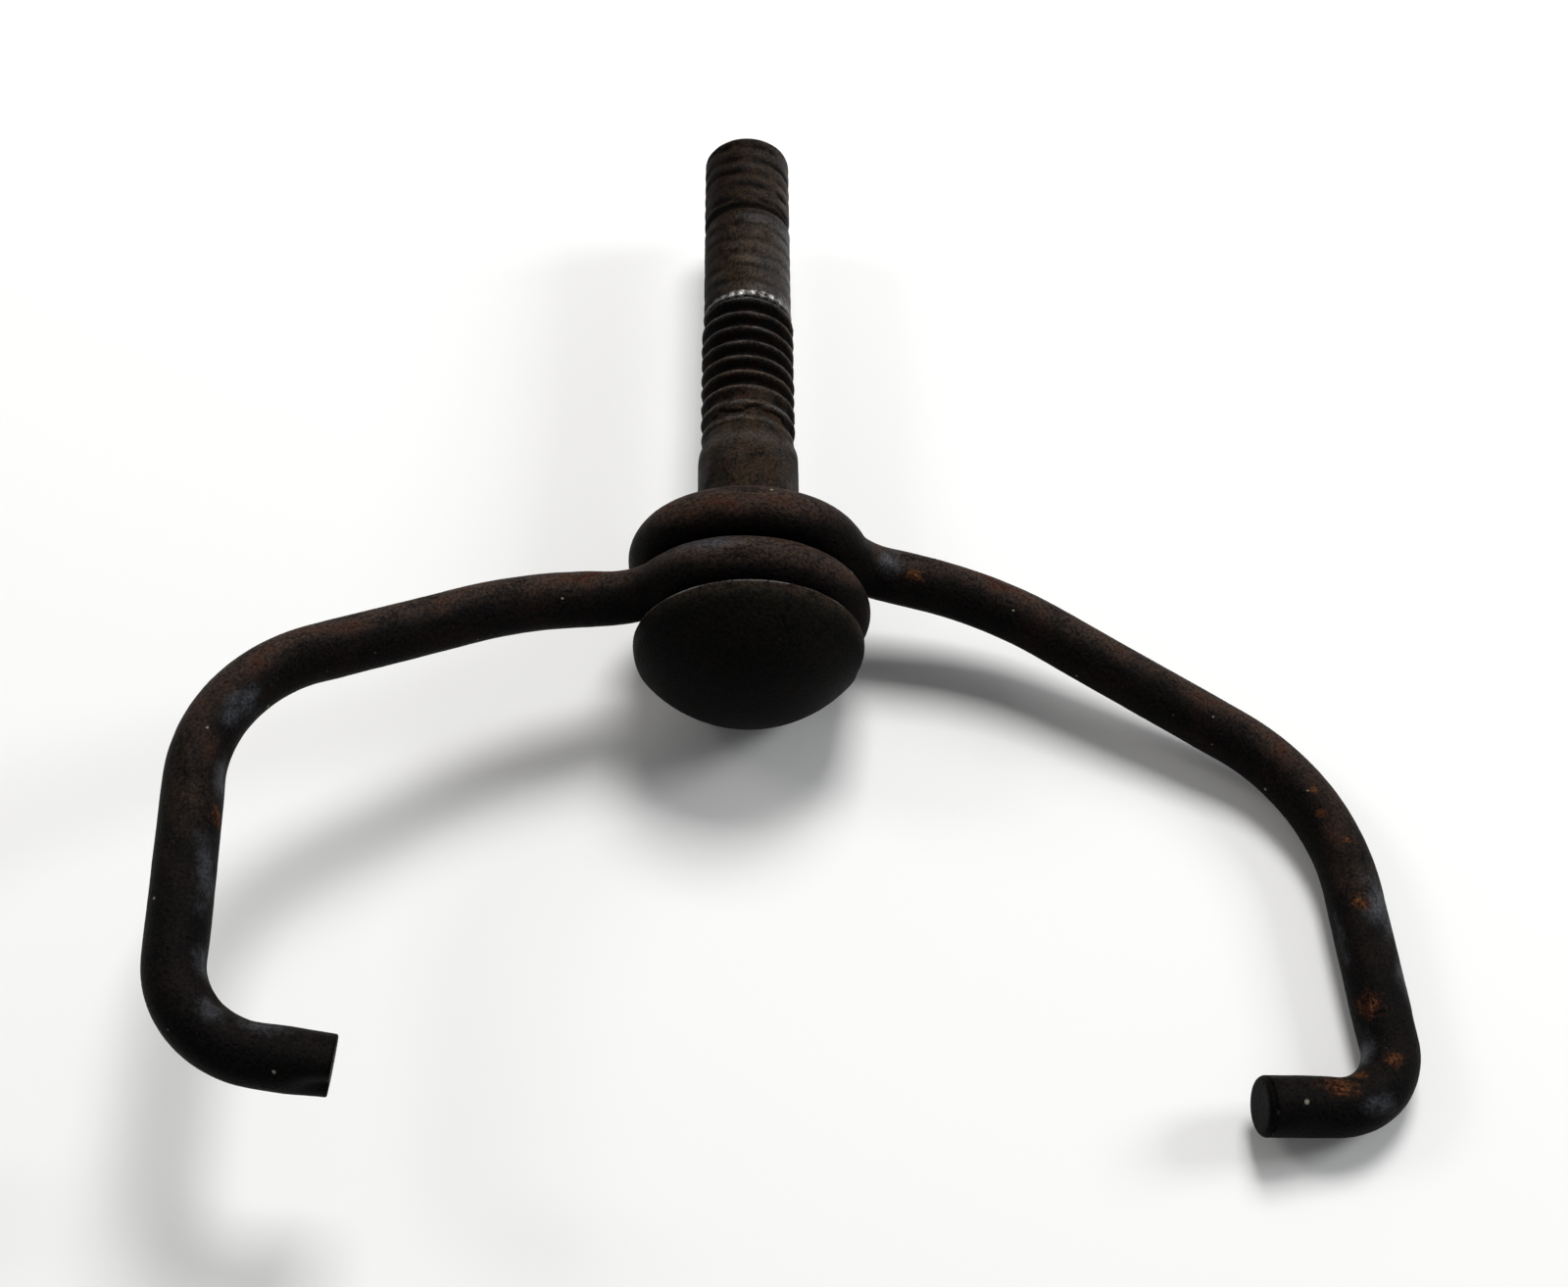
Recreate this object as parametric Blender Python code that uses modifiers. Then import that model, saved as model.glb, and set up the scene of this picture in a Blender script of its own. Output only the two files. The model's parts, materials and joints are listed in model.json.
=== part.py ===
"""Two-hook clamp bolt: a dome-headed threaded stud carrying two swivelling hooked arms.

Three separate pieces are modelled. The bolt has a domed head, a plain shoulder and a
threaded stud. Each arm is one length of round rod: an eye closed round the shoulder, a neck,
a long reach that leans toward the head, a leg that runs past the head, and a hook that turns
inward. The left arm's eye lies against the head and the right arm's eye lies behind it.

The pieces are laid out in the bolt's own frame, with X to the right, Y along the stud toward
its tip, Z up and Y = 0 at the underside of the head. An empty carries that frame, and is
moved until the assembly lies on the floor at Z = 0 on the rim of its head.
"""

import math

import bpy
from mathutils import Vector

# Driving dimensions, in metres and degrees.
COLLECTION_NAME = "two_hook_clamp_bolt"
GAP = 0.0003

HEAD_RADIUS = 0.0072
HEAD_RIM_HEIGHT = 0.0010
HEAD_DOME_HEIGHT = 0.0041
HEAD_EDGE_ROUND = 0.0002
DOME_RINGS = 8

SHOULDER_RADIUS = 0.0033
SHOULDER_LENGTH = 0.0138
SHOULDER_ROUND_LENGTH = 0.0009
NECK_RADIUS = 0.00306
NECK_END = 0.0155

THREAD_RADIUS = 0.003175
THREAD_PITCH = 0.00127
THREAD_DEPTH = 0.6134 * THREAD_PITCH
THREAD_END = 0.0261
THREAD_RINGS_PER_TURN = 5
THREAD_FLAT = 0.18

WORN_RADIUS = 0.0030
GROOVE_RADIUS = 0.00272
GROOVE_PLACE = 0.0345
GROOVE_HALF_WIDTH = 0.0004
TIP_CHAMFER = 0.0005
STUD_LENGTH = 0.0412
TURNED_SEGMENTS = 28

ROD_RADIUS = 0.00176
ROD_BEVEL_RESOLUTION = 4
EYE_HALF_WIDTH = 0.0059
EYE_HALF_HEIGHT = 0.00535
EYE_DROP = EYE_HALF_HEIGHT - ROD_RADIUS - SHOULDER_RADIUS - GAP
EYE_END_ANGLE = -30.0
EYE_STEP = 9.0
NECK_ANGLE = 30.0
NECK_BEND_RADIUS = 0.0036
NECK_LEAN = 0.0002
NECK_LEAN_ANGLE = 60.0
HEAD_TO_EYE = 0.00044
LEFT_EYE_PLACE = HEAD_TO_EYE + ROD_RADIUS
RIGHT_EYE_PLACE = LEFT_EYE_PLACE + 2.0 * ROD_RADIUS + GAP
BEND_STEP = 9.0

# Each arm's outline as corners (reach from the bolt's axis, place along the bolt).
LEFT_CORNERS = ((0.0145, 0.0011), (0.0319, -0.0067), (0.0310, -0.0286), (0.0224, -0.0294))
LEFT_BEND_RADII = (0.0300, 0.0098, 0.0054)
LEFT_RAISE = 12.0

RIGHT_CORNERS = ((0.0157, 0.0047), (0.0364, -0.0078), (0.0376, -0.0283), (0.0290, -0.0286))
RIGHT_BEND_RADII = (0.0250, 0.0133, 0.0039)
RIGHT_RAISE = -8.4


def clear_scene():
    """Remove every object that the scene starts with."""
    for scene_object in list(bpy.data.objects):
        bpy.data.objects.remove(scene_object, do_unlink=True)


def make_collection():
    """Return a new collection, linked to the scene, that holds the pieces."""
    collection = bpy.data.collections.new(COLLECTION_NAME)
    bpy.context.scene.collection.children.link(collection)
    return collection


def make_material(name, colour, roughness, metallic):
    """Return a Principled material of one colour."""
    material = bpy.data.materials.new(name)
    material.use_nodes = True
    shader = material.node_tree.nodes["Principled BSDF"]
    shader.inputs["Base Color"].default_value = (*colour, 1.0)
    shader.inputs["Roughness"].default_value = roughness
    shader.inputs["Metallic"].default_value = metallic
    return material


def make_datum(collection):
    """Return the empty that holds the bolt's frame."""
    datum = bpy.data.objects.new("bolt_frame", None)
    collection.objects.link(datum)
    return datum


def stud_profile():
    """Return the bolt's (radius, height) outline from the stud's tip down to the dome.

    The threaded stretch is divided into even rings, which the thread is cut from later.
    """
    points = [
        (0.0, STUD_LENGTH),
        (WORN_RADIUS - TIP_CHAMFER, STUD_LENGTH),
        (WORN_RADIUS, STUD_LENGTH - TIP_CHAMFER),
        (WORN_RADIUS, GROOVE_PLACE + GROOVE_HALF_WIDTH),
        (GROOVE_RADIUS, GROOVE_PLACE + GROOVE_HALF_WIDTH / 3.0),
        (GROOVE_RADIUS, GROOVE_PLACE - GROOVE_HALF_WIDTH / 3.0),
        (WORN_RADIUS, GROOVE_PLACE - GROOVE_HALF_WIDTH),
        (WORN_RADIUS, THREAD_END + GAP),
    ]
    ring_count = round((THREAD_END - NECK_END) / THREAD_PITCH * THREAD_RINGS_PER_TURN)
    for ring in range(ring_count + 1):
        height = THREAD_END - (THREAD_END - NECK_END) * ring / ring_count
        points.append((THREAD_RADIUS, height))
    points.append((NECK_RADIUS, NECK_END - GAP))
    for step in range(5):
        turn = math.radians(90.0) * step / 4.0
        radius = NECK_RADIUS + (SHOULDER_RADIUS - NECK_RADIUS) * math.sin(turn)
        height = SHOULDER_LENGTH + SHOULDER_ROUND_LENGTH * math.cos(turn)
        points.append((radius, height))
    points.append((SHOULDER_RADIUS, 0.0))
    points.append((HEAD_RADIUS - HEAD_EDGE_ROUND, 0.0))
    points.append((HEAD_RADIUS, -HEAD_EDGE_ROUND))
    sphere_radius = (HEAD_RADIUS**2 + HEAD_DOME_HEIGHT**2) / (2.0 * HEAD_DOME_HEIGHT)
    centre_height = -HEAD_RIM_HEIGHT - HEAD_DOME_HEIGHT + sphere_radius
    rim_angle = math.asin(HEAD_RADIUS / sphere_radius)
    for ring in range(DOME_RINGS + 1):
        angle = rim_angle * (1.0 - ring / DOME_RINGS)
        radius = sphere_radius * math.sin(angle)
        points.append((radius, centre_height - sphere_radius * math.cos(angle)))
    return points


def turned_mesh(name, profile):
    """Return the mesh swept once round Z by a profile of (radius, height) points."""
    outline = bpy.data.meshes.new(name + "_profile")
    vertices = [(radius, 0.0, height) for radius, height in profile]
    edges = [(index, index + 1) for index in range(len(profile) - 1)]
    outline.from_pydata(vertices, edges, [])
    blank = bpy.data.objects.new(name + "_blank", outline)
    bpy.context.scene.collection.objects.link(blank)
    screw = blank.modifiers.new("turn", "SCREW")
    screw.axis = "Z"
    screw.steps = TURNED_SEGMENTS
    screw.render_steps = TURNED_SEGMENTS
    screw.use_merge_vertices = True
    screw.merge_threshold = 0.00001
    bpy.context.view_layer.update()
    evaluated = blank.evaluated_get(bpy.context.evaluated_depsgraph_get())
    mesh = bpy.data.meshes.new_from_object(evaluated)
    mesh.name = name
    bpy.data.objects.remove(blank, do_unlink=True)
    return mesh


def thread_height(phase):
    """Return the height of a V thread, from 0 at the root to 1 at the crest.

    Args:
        phase: Place along one pitch, in turns.
    """
    from_crest = abs(phase - round(phase)) * 2.0
    slope = (1.0 - THREAD_FLAT - from_crest) / (1.0 - 2.0 * THREAD_FLAT)
    return min(1.0, max(0.0, slope))


def cut_thread(mesh):
    """Press a right-handed helical thread into the evenly ringed stretch of the stud."""
    tolerance = THREAD_PITCH / 100.0
    for vertex in mesh.vertices:
        height = vertex.co.z
        if height > THREAD_END + tolerance or height < NECK_END - tolerance:
            continue
        angle = math.atan2(vertex.co.y, vertex.co.x)
        phase = height / THREAD_PITCH - angle / math.tau
        run_in = min(1.0, (height - NECK_END) / THREAD_PITCH)
        depth = THREAD_DEPTH * (1.0 - thread_height(phase)) * max(0.0, run_in)
        radius = THREAD_RADIUS - depth
        vertex.co.x = radius * math.cos(angle)
        vertex.co.y = radius * math.sin(angle)


def make_bolt(collection, datum, material):
    """Build the dome-headed bolt with its shoulder and threaded stud, as one solid."""
    mesh = turned_mesh("dome_head_bolt", stud_profile())
    cut_thread(mesh)
    mesh.materials.append(material)
    mesh.shade_smooth()
    mesh.set_sharp_from_angle(angle=math.radians(35.0))
    bolt = bpy.data.objects.new("dome_head_bolt", mesh)
    bolt.parent = datum
    bolt.rotation_euler = (math.radians(-90.0), 0.0, 0.0)
    collection.objects.link(bolt)
    return bolt


def rounded_path(corners, radii):
    """Return points along straight runs whose inner corners are rounded to given radii.

    Args:
        corners: Vectors, of which the first and last are the path's ends.
        radii: One bend radius for each inner corner.
    """
    points = [corners[0]]
    for before, corner, after, radius in zip(corners, corners[1:], corners[2:], radii):
        to_before = (before - corner).normalized()
        to_after = (after - corner).normalized()
        turn = math.pi - to_before.angle(to_after)
        run_up = radius * math.tan(turn / 2.0)
        start = corner + to_before * run_up
        bisector = (to_before + to_after).normalized()
        centre = corner + bisector * (radius / math.cos(turn / 2.0))
        inward = (centre - start).normalized()
        steps = max(2, math.ceil(math.degrees(turn) / BEND_STEP))
        for step in range(steps + 1):
            angle = turn * step / steps
            along = -to_before * math.sin(angle) * radius
            points.append(centre + along - inward * math.cos(angle) * radius)
    points.append(corners[-1])
    return points


def eye_points():
    """Return points round the oval eye, from its hidden end to where the neck leaves it.

    Over the last stretch the rod leans toward the stud's tip, more and more steeply, which
    gives the neck its place along the bolt.
    """
    steps = round((EYE_END_ANGLE + 360.0 - NECK_ANGLE) / EYE_STEP)
    points = []
    for step in range(steps + 1):
        to_neck = (1.0 - step / steps) * (EYE_END_ANGLE + 360.0 - NECK_ANGLE)
        angle = math.radians(NECK_ANGLE + to_neck)
        across = EYE_HALF_WIDTH * math.cos(angle)
        up = EYE_HALF_HEIGHT * math.sin(angle) - EYE_DROP
        lean = NECK_LEAN * max(0.0, 1.0 - to_neck / NECK_LEAN_ANGLE) ** 2
        points.append(Vector((across, lean, up)))
    return points


def arm_points(eye_place, outline_corners, bend_radii):
    """Return the centre line of an arm, with X outward and Y = 0 at the plane of its eye.

    The neck is a reverse bend. It starts along the eye's own direction, and ends along the
    straight line to the first corner of the arm's outline.
    """
    eye = eye_points()
    leave = eye[-1]
    heading = (leave - eye[-2]).normalized()
    neck_corner = leave + heading * (leave.z / -heading.z)
    corners = [leave, neck_corner]
    for reach, place in outline_corners:
        corners.append(Vector((reach, place - eye_place, 0.0)))
    return eye[:-1] + rounded_path(corners, (NECK_BEND_RADIUS, *bend_radii))


def make_arm(collection, datum, material, name, side, eye_place, raise_angle, points):
    """Build one hooked arm as a round rod along its centre line.

    Args:
        side: 1 for an arm that reaches to the right and -1 for one to the left.
        raise_angle: Degrees by which the arm points above the level, as it lies.
        points: Centre line of the arm, as if it reached to the right.
    """
    curve = bpy.data.curves.new(name, "CURVE")
    curve.dimensions = "3D"
    curve.bevel_depth = ROD_RADIUS
    curve.bevel_resolution = ROD_BEVEL_RESOLUTION
    curve.use_fill_caps = True
    spline = curve.splines.new("POLY")
    spline.points.add(len(points) - 1)
    for control, point in zip(spline.points, points):
        control.co = (side * point.x, point.y, point.z, 1.0)
    curve.materials.append(material)
    arm = bpy.data.objects.new(name, curve)
    arm.parent = datum
    arm.location = (0.0, eye_place, 0.0)
    arm.rotation_euler = (0.0, -side * math.radians(raise_angle), 0.0)
    collection.objects.link(arm)
    return arm


def set_down(pieces, datum):
    """Move the assembly so that it stands on Z = 0, centred on the origin in X and Y."""
    bpy.context.view_layer.update()
    graph = bpy.context.evaluated_depsgraph_get()
    corners = []
    for piece in pieces:
        evaluated = piece.evaluated_get(graph)
        mesh = evaluated.to_mesh()
        corners.extend(evaluated.matrix_world @ vertex.co for vertex in mesh.vertices)
        evaluated.to_mesh_clear()
    low = Vector([min(corner[axis] for corner in corners) for axis in range(3)])
    high = Vector([max(corner[axis] for corner in corners) for axis in range(3)])
    datum.location.x -= (low.x + high.x) / 2.0
    datum.location.y -= (low.y + high.y) / 2.0
    datum.location.z -= low.z
    bpy.context.view_layer.update()


def main():
    """Build the bolt and its two arms, and set them down on the floor."""
    clear_scene()
    collection = make_collection()
    datum = make_datum(collection)
    bolt_steel = make_material("bolt_steel", (0.030, 0.022, 0.018), 0.55, 0.60)
    left_steel = make_material("left_arm_steel", (0.024, 0.018, 0.016), 0.50, 0.60)
    right_steel = make_material("right_arm_steel", (0.026, 0.019, 0.017), 0.50, 0.60)
    bolt = make_bolt(collection, datum, bolt_steel)
    left_points = arm_points(LEFT_EYE_PLACE, LEFT_CORNERS, LEFT_BEND_RADII)
    left_arm = make_arm(
        collection, datum, left_steel, "left_hook_arm", -1, LEFT_EYE_PLACE, LEFT_RAISE, left_points
    )
    right_points = arm_points(RIGHT_EYE_PLACE, RIGHT_CORNERS, RIGHT_BEND_RADII)
    right_arm = make_arm(
        collection, datum, right_steel, "right_hook_arm", 1, RIGHT_EYE_PLACE, RIGHT_RAISE, right_points
    )
    set_down((bolt, left_arm, right_arm), datum)


main()
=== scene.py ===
"""Looks of the two-hook clamp bolt: a dome-headed stud and two swivelling hooked rod arms.

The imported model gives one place, the stud's tip, by its mount. Every other place is measured
from there by the sizes in this file. Each of the three pieces is modelled again here in fine
detail, to fit the solid that it stands for, and dressed in blackened, rusting steel.
Lengths are in metres unless a name ends in _mm.
"""

import json
import logging
import math
from dataclasses import dataclass
from enum import Enum
from typing import ClassVar, Iterable, Sequence, Union

import bpy
from mathutils import Matrix, Vector, noise


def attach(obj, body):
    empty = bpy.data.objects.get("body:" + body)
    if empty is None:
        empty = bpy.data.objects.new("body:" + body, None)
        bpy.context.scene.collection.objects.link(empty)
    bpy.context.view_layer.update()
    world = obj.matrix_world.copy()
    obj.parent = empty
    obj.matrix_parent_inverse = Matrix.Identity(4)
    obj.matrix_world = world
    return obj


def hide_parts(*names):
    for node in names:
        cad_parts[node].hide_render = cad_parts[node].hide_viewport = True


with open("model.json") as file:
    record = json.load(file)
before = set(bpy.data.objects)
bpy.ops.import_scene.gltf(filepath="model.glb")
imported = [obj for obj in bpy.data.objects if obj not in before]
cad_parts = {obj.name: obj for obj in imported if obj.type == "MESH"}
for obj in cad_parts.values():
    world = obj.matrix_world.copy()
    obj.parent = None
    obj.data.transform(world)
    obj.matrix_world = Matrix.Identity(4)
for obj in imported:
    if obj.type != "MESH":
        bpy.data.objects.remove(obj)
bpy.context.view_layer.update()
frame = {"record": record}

LOG = logging.getLogger("clamp_bolt")
MM = 0.001
LUMP_FALL = 0.9
LUMP_FINER = 2.1
LUMP_LAYERS = 3
MIX_BASE = 6
MIX_OVER = 7
MIX_RESULT = 2
Number = Union[int, float]
Colour = tuple[float, float, float]
Direction = tuple[float, float, float]
Point = tuple[float, float, float, float]


class Side(Enum):
    """Which way an arm reaches from the bolt, seen from the head end."""

    LEFT = -1
    RIGHT = 1


def smooth_step(low: float, high: float, value: float) -> float:
    """Return 0 below low, 1 above high and an eased value between them."""
    share = min(1.0, max(0.0, (value - low) / (high - low)))
    return share * share * (3.0 - 2.0 * share)


def bump_between(middle: float, half_width: float, value: float) -> float:
    """Return 1 at the middle of a band, easing to 0 at its edges."""
    return 1.0 - smooth_step(0.0, half_width, abs(value - middle))


def blend(first: float, second: float, share: float) -> float:
    """Return the value that lies at a share of the way from first to second."""
    return first + (second - first) * share


def lumps(place: Vector, size_mm: float) -> float:
    """Return smooth noise, roughly from -1 to 1, whose largest lumps have about the given size."""
    return noise.fractal(place / (size_mm * MM), LUMP_FALL, LUMP_FINER, LUMP_LAYERS)


# --------------------------------------------------------------------------------------
# Shader maths
# --------------------------------------------------------------------------------------


class Signal:
    """A shader value, which Python's operators join into Math nodes."""

    def __init__(self, graph: "Graph", socket: bpy.types.NodeSocket) -> None:
        """Wrap one output socket of a graph's node."""
        self.graph = graph
        self.socket = socket

    def _join(self, operation: str, first: "Value", second: "Value") -> "Signal":
        """Return the result of a two-input Math node."""
        return self.graph.math(operation, first, second)

    def __add__(self, other: "Value") -> "Signal":
        """Return self + other."""
        return self._join("ADD", self, other)

    def __radd__(self, other: "Value") -> "Signal":
        """Return other + self."""
        return self._join("ADD", other, self)

    def __sub__(self, other: "Value") -> "Signal":
        """Return self - other."""
        return self._join("SUBTRACT", self, other)

    def __rsub__(self, other: "Value") -> "Signal":
        """Return other - self."""
        return self._join("SUBTRACT", other, self)

    def __mul__(self, other: "Value") -> "Signal":
        """Return self * other."""
        return self._join("MULTIPLY", self, other)

    def __rmul__(self, other: "Value") -> "Signal":
        """Return other * self."""
        return self._join("MULTIPLY", other, self)

    def clamped(self, low: float = 0.0, high: float = 1.0) -> "Signal":
        """Return the value held between two limits."""
        inputs = {"Value": self, "Min": low, "Max": high}
        return self.graph.single("ShaderNodeClamp", {}, inputs, "Result")

    def ramp(self, low: float, high: float) -> "Signal":
        """Ease the value from 0 to 1.

        Args:
            low: Where the result is 0.
            high: Where the result is 1. It may lie below low.

        Returns:
            The eased value.
        """
        settings = {"interpolation_type": "SMOOTHSTEP"}
        inputs = {"Value": self, "From Min": low, "From Max": high}
        return self.graph.single("ShaderNodeMapRange", settings, inputs, "Result")


Value = Union[Signal, Number]


class Graph:
    """The node tree of one material, built from Python calls."""

    def __init__(self, name: str) -> None:
        """Start a material with an empty node tree.

        Args:
            name: The material's name.
        """
        self.material = bpy.data.materials.new(name)
        self.material.use_nodes = True
        self.tree = self.material.node_tree
        self.tree.nodes.clear()

    def node(self, kind: str, settings: dict, inputs: dict) -> bpy.types.Node:
        """Add a node, with its settings made before its inputs are filled.

        Args:
            kind: Blender's name for the node's type.
            settings: Attributes of the node.
            inputs: Values or links by socket name or index.

        Returns:
            The new node.
        """
        node = self.tree.nodes.new(kind)
        for name, setting in settings.items():
            setattr(node, name, setting)
        for key, value in inputs.items():
            socket = node.inputs[key]
            if isinstance(value, Signal):
                self.tree.links.new(value.socket, socket)
            else:
                socket.default_value = value
        return node

    def single(self, kind: str, settings: dict, inputs: dict, output: Union[str, int]) -> Signal:
        """Add a node and return one of its outputs."""
        return Signal(self, self.node(kind, settings, inputs).outputs[output])

    def math(self, operation: str, first: Value, second: Value) -> Signal:
        """Return the result of a Math node on two values."""
        inputs = {0: first, 1: second}
        return self.single("ShaderNodeMath", {"operation": operation}, inputs, 0)

    def attribute(self, name: str, output: str = "Fac") -> Signal:
        """Return a value or vector stored on the mesh."""
        return self.single("ShaderNodeAttribute", {"attribute_name": name}, {}, output)

    def vector_math(
        self, operation: str, first: Signal, second: Sequence[float], output: Union[str, int] = 0
    ) -> Signal:
        """Return the result of a Vector Math node on a vector and a fixed one."""
        inputs = {0: first, 1: tuple(second)}
        return self.single("ShaderNodeVectorMath", {"operation": operation}, inputs, output)

    def facing(self, direction: Sequence[float]) -> Signal:
        """Return how far the surface faces a direction fixed to the piece, from -1 to 1."""
        normal = self.single("ShaderNodeTexCoord", {}, {}, "Normal")
        return self.vector_math("DOT_PRODUCT", normal, Vector(direction).normalized(), "Value")

    def part(self, vector: Signal, axis: str) -> Signal:
        """Return one component of a vector."""
        return self.single("ShaderNodeSeparateXYZ", {}, {"Vector": vector}, axis)

    def stretch(self, place: Signal, scale: Sequence[float]) -> Signal:
        """Return a place scaled by its own factor along each axis."""
        return self.vector_math("MULTIPLY", place, scale)

    def noise(self, place: Signal, scale: float, detail: float, rough: float = 0.6) -> Signal:
        """Return cloudy noise, from 0 to 1, with the given number of lumps in a metre."""
        inputs = {"Vector": place, "Scale": scale, "Detail": detail, "Roughness": rough}
        return self.single("ShaderNodeTexNoise", {}, inputs, "Fac")

    def cells(self, place: Signal, scale: float) -> Signal:
        """Return the distance to the nearest of scattered points, in cell widths."""
        inputs = {"Vector": place, "Scale": scale}
        return self.single("ShaderNodeTexVoronoi", {"feature": "F1"}, inputs, "Distance")

    def distance(self, place: Signal, centre: Sequence[float]) -> Signal:
        """Return the distance of a place from a fixed centre."""
        return self.vector_math("DISTANCE", place, centre, "Value")

    def brighten(self, colour: Signal, factor: Signal) -> Signal:
        """Return a colour multiplied by a factor."""
        inputs = {0: colour, "Scale": factor}
        return self.single("ShaderNodeVectorMath", {"operation": "SCALE"}, inputs, 0)

    def tint(self, share: Value, base: Union[Signal, Colour], over: Union[Signal, Colour]) -> Signal:
        """Lay one colour over another.

        Args:
            share: How much of the upper colour shows, from 0 to 1.
            base: The lower colour.
            over: The upper colour.

        Returns:
            The mixed colour.
        """
        inputs: dict = {"Factor": share}
        for socket, colour in ((MIX_BASE, base), (MIX_OVER, over)):
            inputs[socket] = colour if isinstance(colour, Signal) else (*colour, 1.0)
        return self.single("ShaderNodeMix", {"data_type": "RGBA"}, inputs, MIX_RESULT)

    def finish(self, surface: dict) -> bpy.types.Material:
        """Close the graph with a Principled shader.

        Args:
            surface: The shader's inputs by socket name.

        Returns:
            The material.
        """
        shader = self.single("ShaderNodeBsdfPrincipled", {}, surface, "BSDF")
        self.node("ShaderNodeOutputMaterial", {}, {"Surface": shader})
        return self.material


@dataclass(frozen=True)
class Patch:
    """A mark on a rod, placed on the rod as if it lay straight.

    Attributes:
        along_mm: Distance of its middle from the hook's cut end.
        around: Angle round the rod from its upper side, in degrees.
        size_mm: Radius of the mark.
        stretch: How many times longer the mark is along the rod than around it.
    """

    along_mm: float
    around: float
    size_mm: float
    stretch: float = 1.0

    def cover(self, travelled: float, angle: float) -> float:
        """Work out how strongly the mark shows at a point of the rod.

        Args:
            travelled: Distance of the point from the hook's cut end.
            angle: The point's angle round the rod from its upper side, in radians.

        Returns:
            1 in the middle of the mark, easing to 0 at its edge.
        """
        along = (travelled / MM - self.along_mm) / (self.size_mm * self.stretch)
        turn = (math.degrees(angle) - self.around + 180.0) % 360.0 - 180.0
        across = math.radians(turn) * HookArm.rod_radius / (self.size_mm * MM)
        return 1.0 - smooth_step(0.0, 1.0, math.hypot(along, across))


@dataclass(frozen=True)
class Scales:
    """How fine the noises of a finish are, as lumps or cells in a metre.

    Attributes:
        broad: Broad clouds.
        blotch: Blotches of rust.
        pits: Small pits.
        dust: Scattered specks of dust.
        grain: Fine grain.
        relief: Height of the bump made from them, in metres.
    """

    broad: float
    blotch: float
    pits: float
    dust: float
    grain: float = 5200.0
    relief: float = 0.11 * MM


@dataclass(frozen=True)
class Clouds:
    """The noises that break up one finish.

    Attributes:
        graph: The material's graph.
        place: Where the noises are read.
        broad: Broad clouds.
        blotch: Blotches of rust.
        grain: Fine grain.
        pits: Distance to the nearest pit.
    """

    graph: Graph
    place: Signal
    broad: Signal
    blotch: Signal
    grain: Signal
    pits: Signal

    def broken(self, amount: float, low: float, high: float) -> Signal:
        """Return the blotches, roughened by an amount of grain and eased from low to high."""
        return (self.blotch + amount * (self.grain - 0.5)).ramp(low, high)

    def grained(self, colour: Signal, strength: Value, dirt: Colour) -> Signal:
        """Break a colour up by paler and darker grains and by dark pits.

        Args:
            colour: The colour.
            strength: How strongly it is broken up, from 0 to 1.
            dirt: Colour of the pits.

        Returns:
            The broken colour.
        """
        swing = (self.grain.ramp(0.34, 0.66) - 0.45) * strength
        colour = self.graph.brighten(colour, (1.0 + swing).clamped(0.0, 2.0))
        return self.graph.tint((1.0 - self.pits.ramp(0.05, 0.30)) * 0.3 * strength, colour, dirt)

    def height(self) -> Signal:
        """Return the height of the grain, the blotches and the pits, for the bump."""
        return 0.70 * self.grain + 0.45 * self.blotch + 0.40 * self.pits.ramp(0.05, 0.35)


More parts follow.
